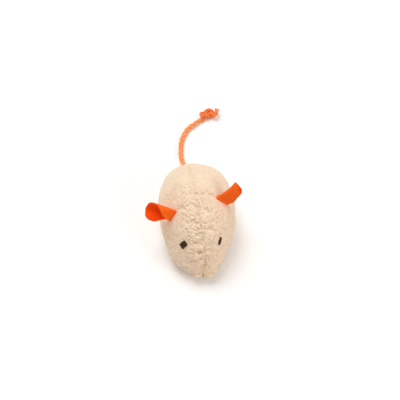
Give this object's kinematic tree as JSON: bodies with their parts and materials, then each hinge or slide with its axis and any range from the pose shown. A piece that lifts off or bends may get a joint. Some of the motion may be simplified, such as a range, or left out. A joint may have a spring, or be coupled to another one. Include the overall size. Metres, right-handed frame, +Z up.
{
  "type": "catnip mouse",
  "caption": "Stuffed fleece mouse for cats: egg-shaped body with a flat base, folded felt ears, stitched eyes and a knotted cord tail.",
  "frame": {"origin": "on the base's flat face, under the middle of the body's length", "axes": "+Y from the nose to the tail, +Z up, +X to the mouse's left"},
  "size_m": [0.0635, 0.1453, 0.0486],
  "materials": {
    "fleece": "cream looped fleece",
    "felt": "soft orange felt",
    "cord": "twisted orange cotton cord",
    "thread": "sewing thread",
    "stitch": "dark brown satin stitch",
    "fibre": "loose fibre",
    "leaf": "dried leaf"
  },
  "bodies": {
    "mouse": {"side_panel_left": "fleece", "side_panel_right": "fleece", "base_panel": "fleece", "catnip_fill": "leaf", "stuffing_front": "fibre", "stuffing_rear": "fibre", "ear_tab_left": "felt", "ear_tab_right": "felt", "eye_left": "stitch", "eye_right": "stitch", "back_seam_thread": "thread", "base_seam_thread": "thread", "closing_thread": "thread", "ear_seam_thread_left": "thread", "ear_seam_thread_right": "thread", "tail_inner_end": "cord"},
    "ear_left": {"ear_left": "felt"},
    "ear_right": {"ear_right": "felt"},
    "tail_root": {"tail_root": "cord"},
    "tail": {"tail_cord": "cord", "tail_knot": "cord"}
  },
  "joints": [
    {"name": "ear_left_fold", "type": "hinge", "parent": "mouse", "child": "ear_left", "pos_m": [0.01842, 0.0004, 0.03526], "axis": [0.6485, 0, -0.7612], "range_deg": [-35, 35], "stiffness_Nm_per_rad": 0.0005},
    {"name": "ear_right_fold", "type": "hinge", "parent": "mouse", "child": "ear_right", "pos_m": [-0.01832, -0.007, 0.03292], "axis": [0.6104, 0, 0.7921], "range_deg": [-35, 35], "stiffness_Nm_per_rad": 0.0005},
    {"name": "tail_swing", "type": "hinge", "parent": "mouse", "child": "tail_root", "pos_m": [0, 0.0408, 0.011], "axis": [0, 0, 1], "range_deg": [-50, 50]},
    {"name": "tail_lift", "type": "hinge", "parent": "tail_root", "child": "tail", "pos_m": [0, 0.0462, 0.011], "axis": [1, 0, 0], "range_deg": [0, 80]}
  ]
}
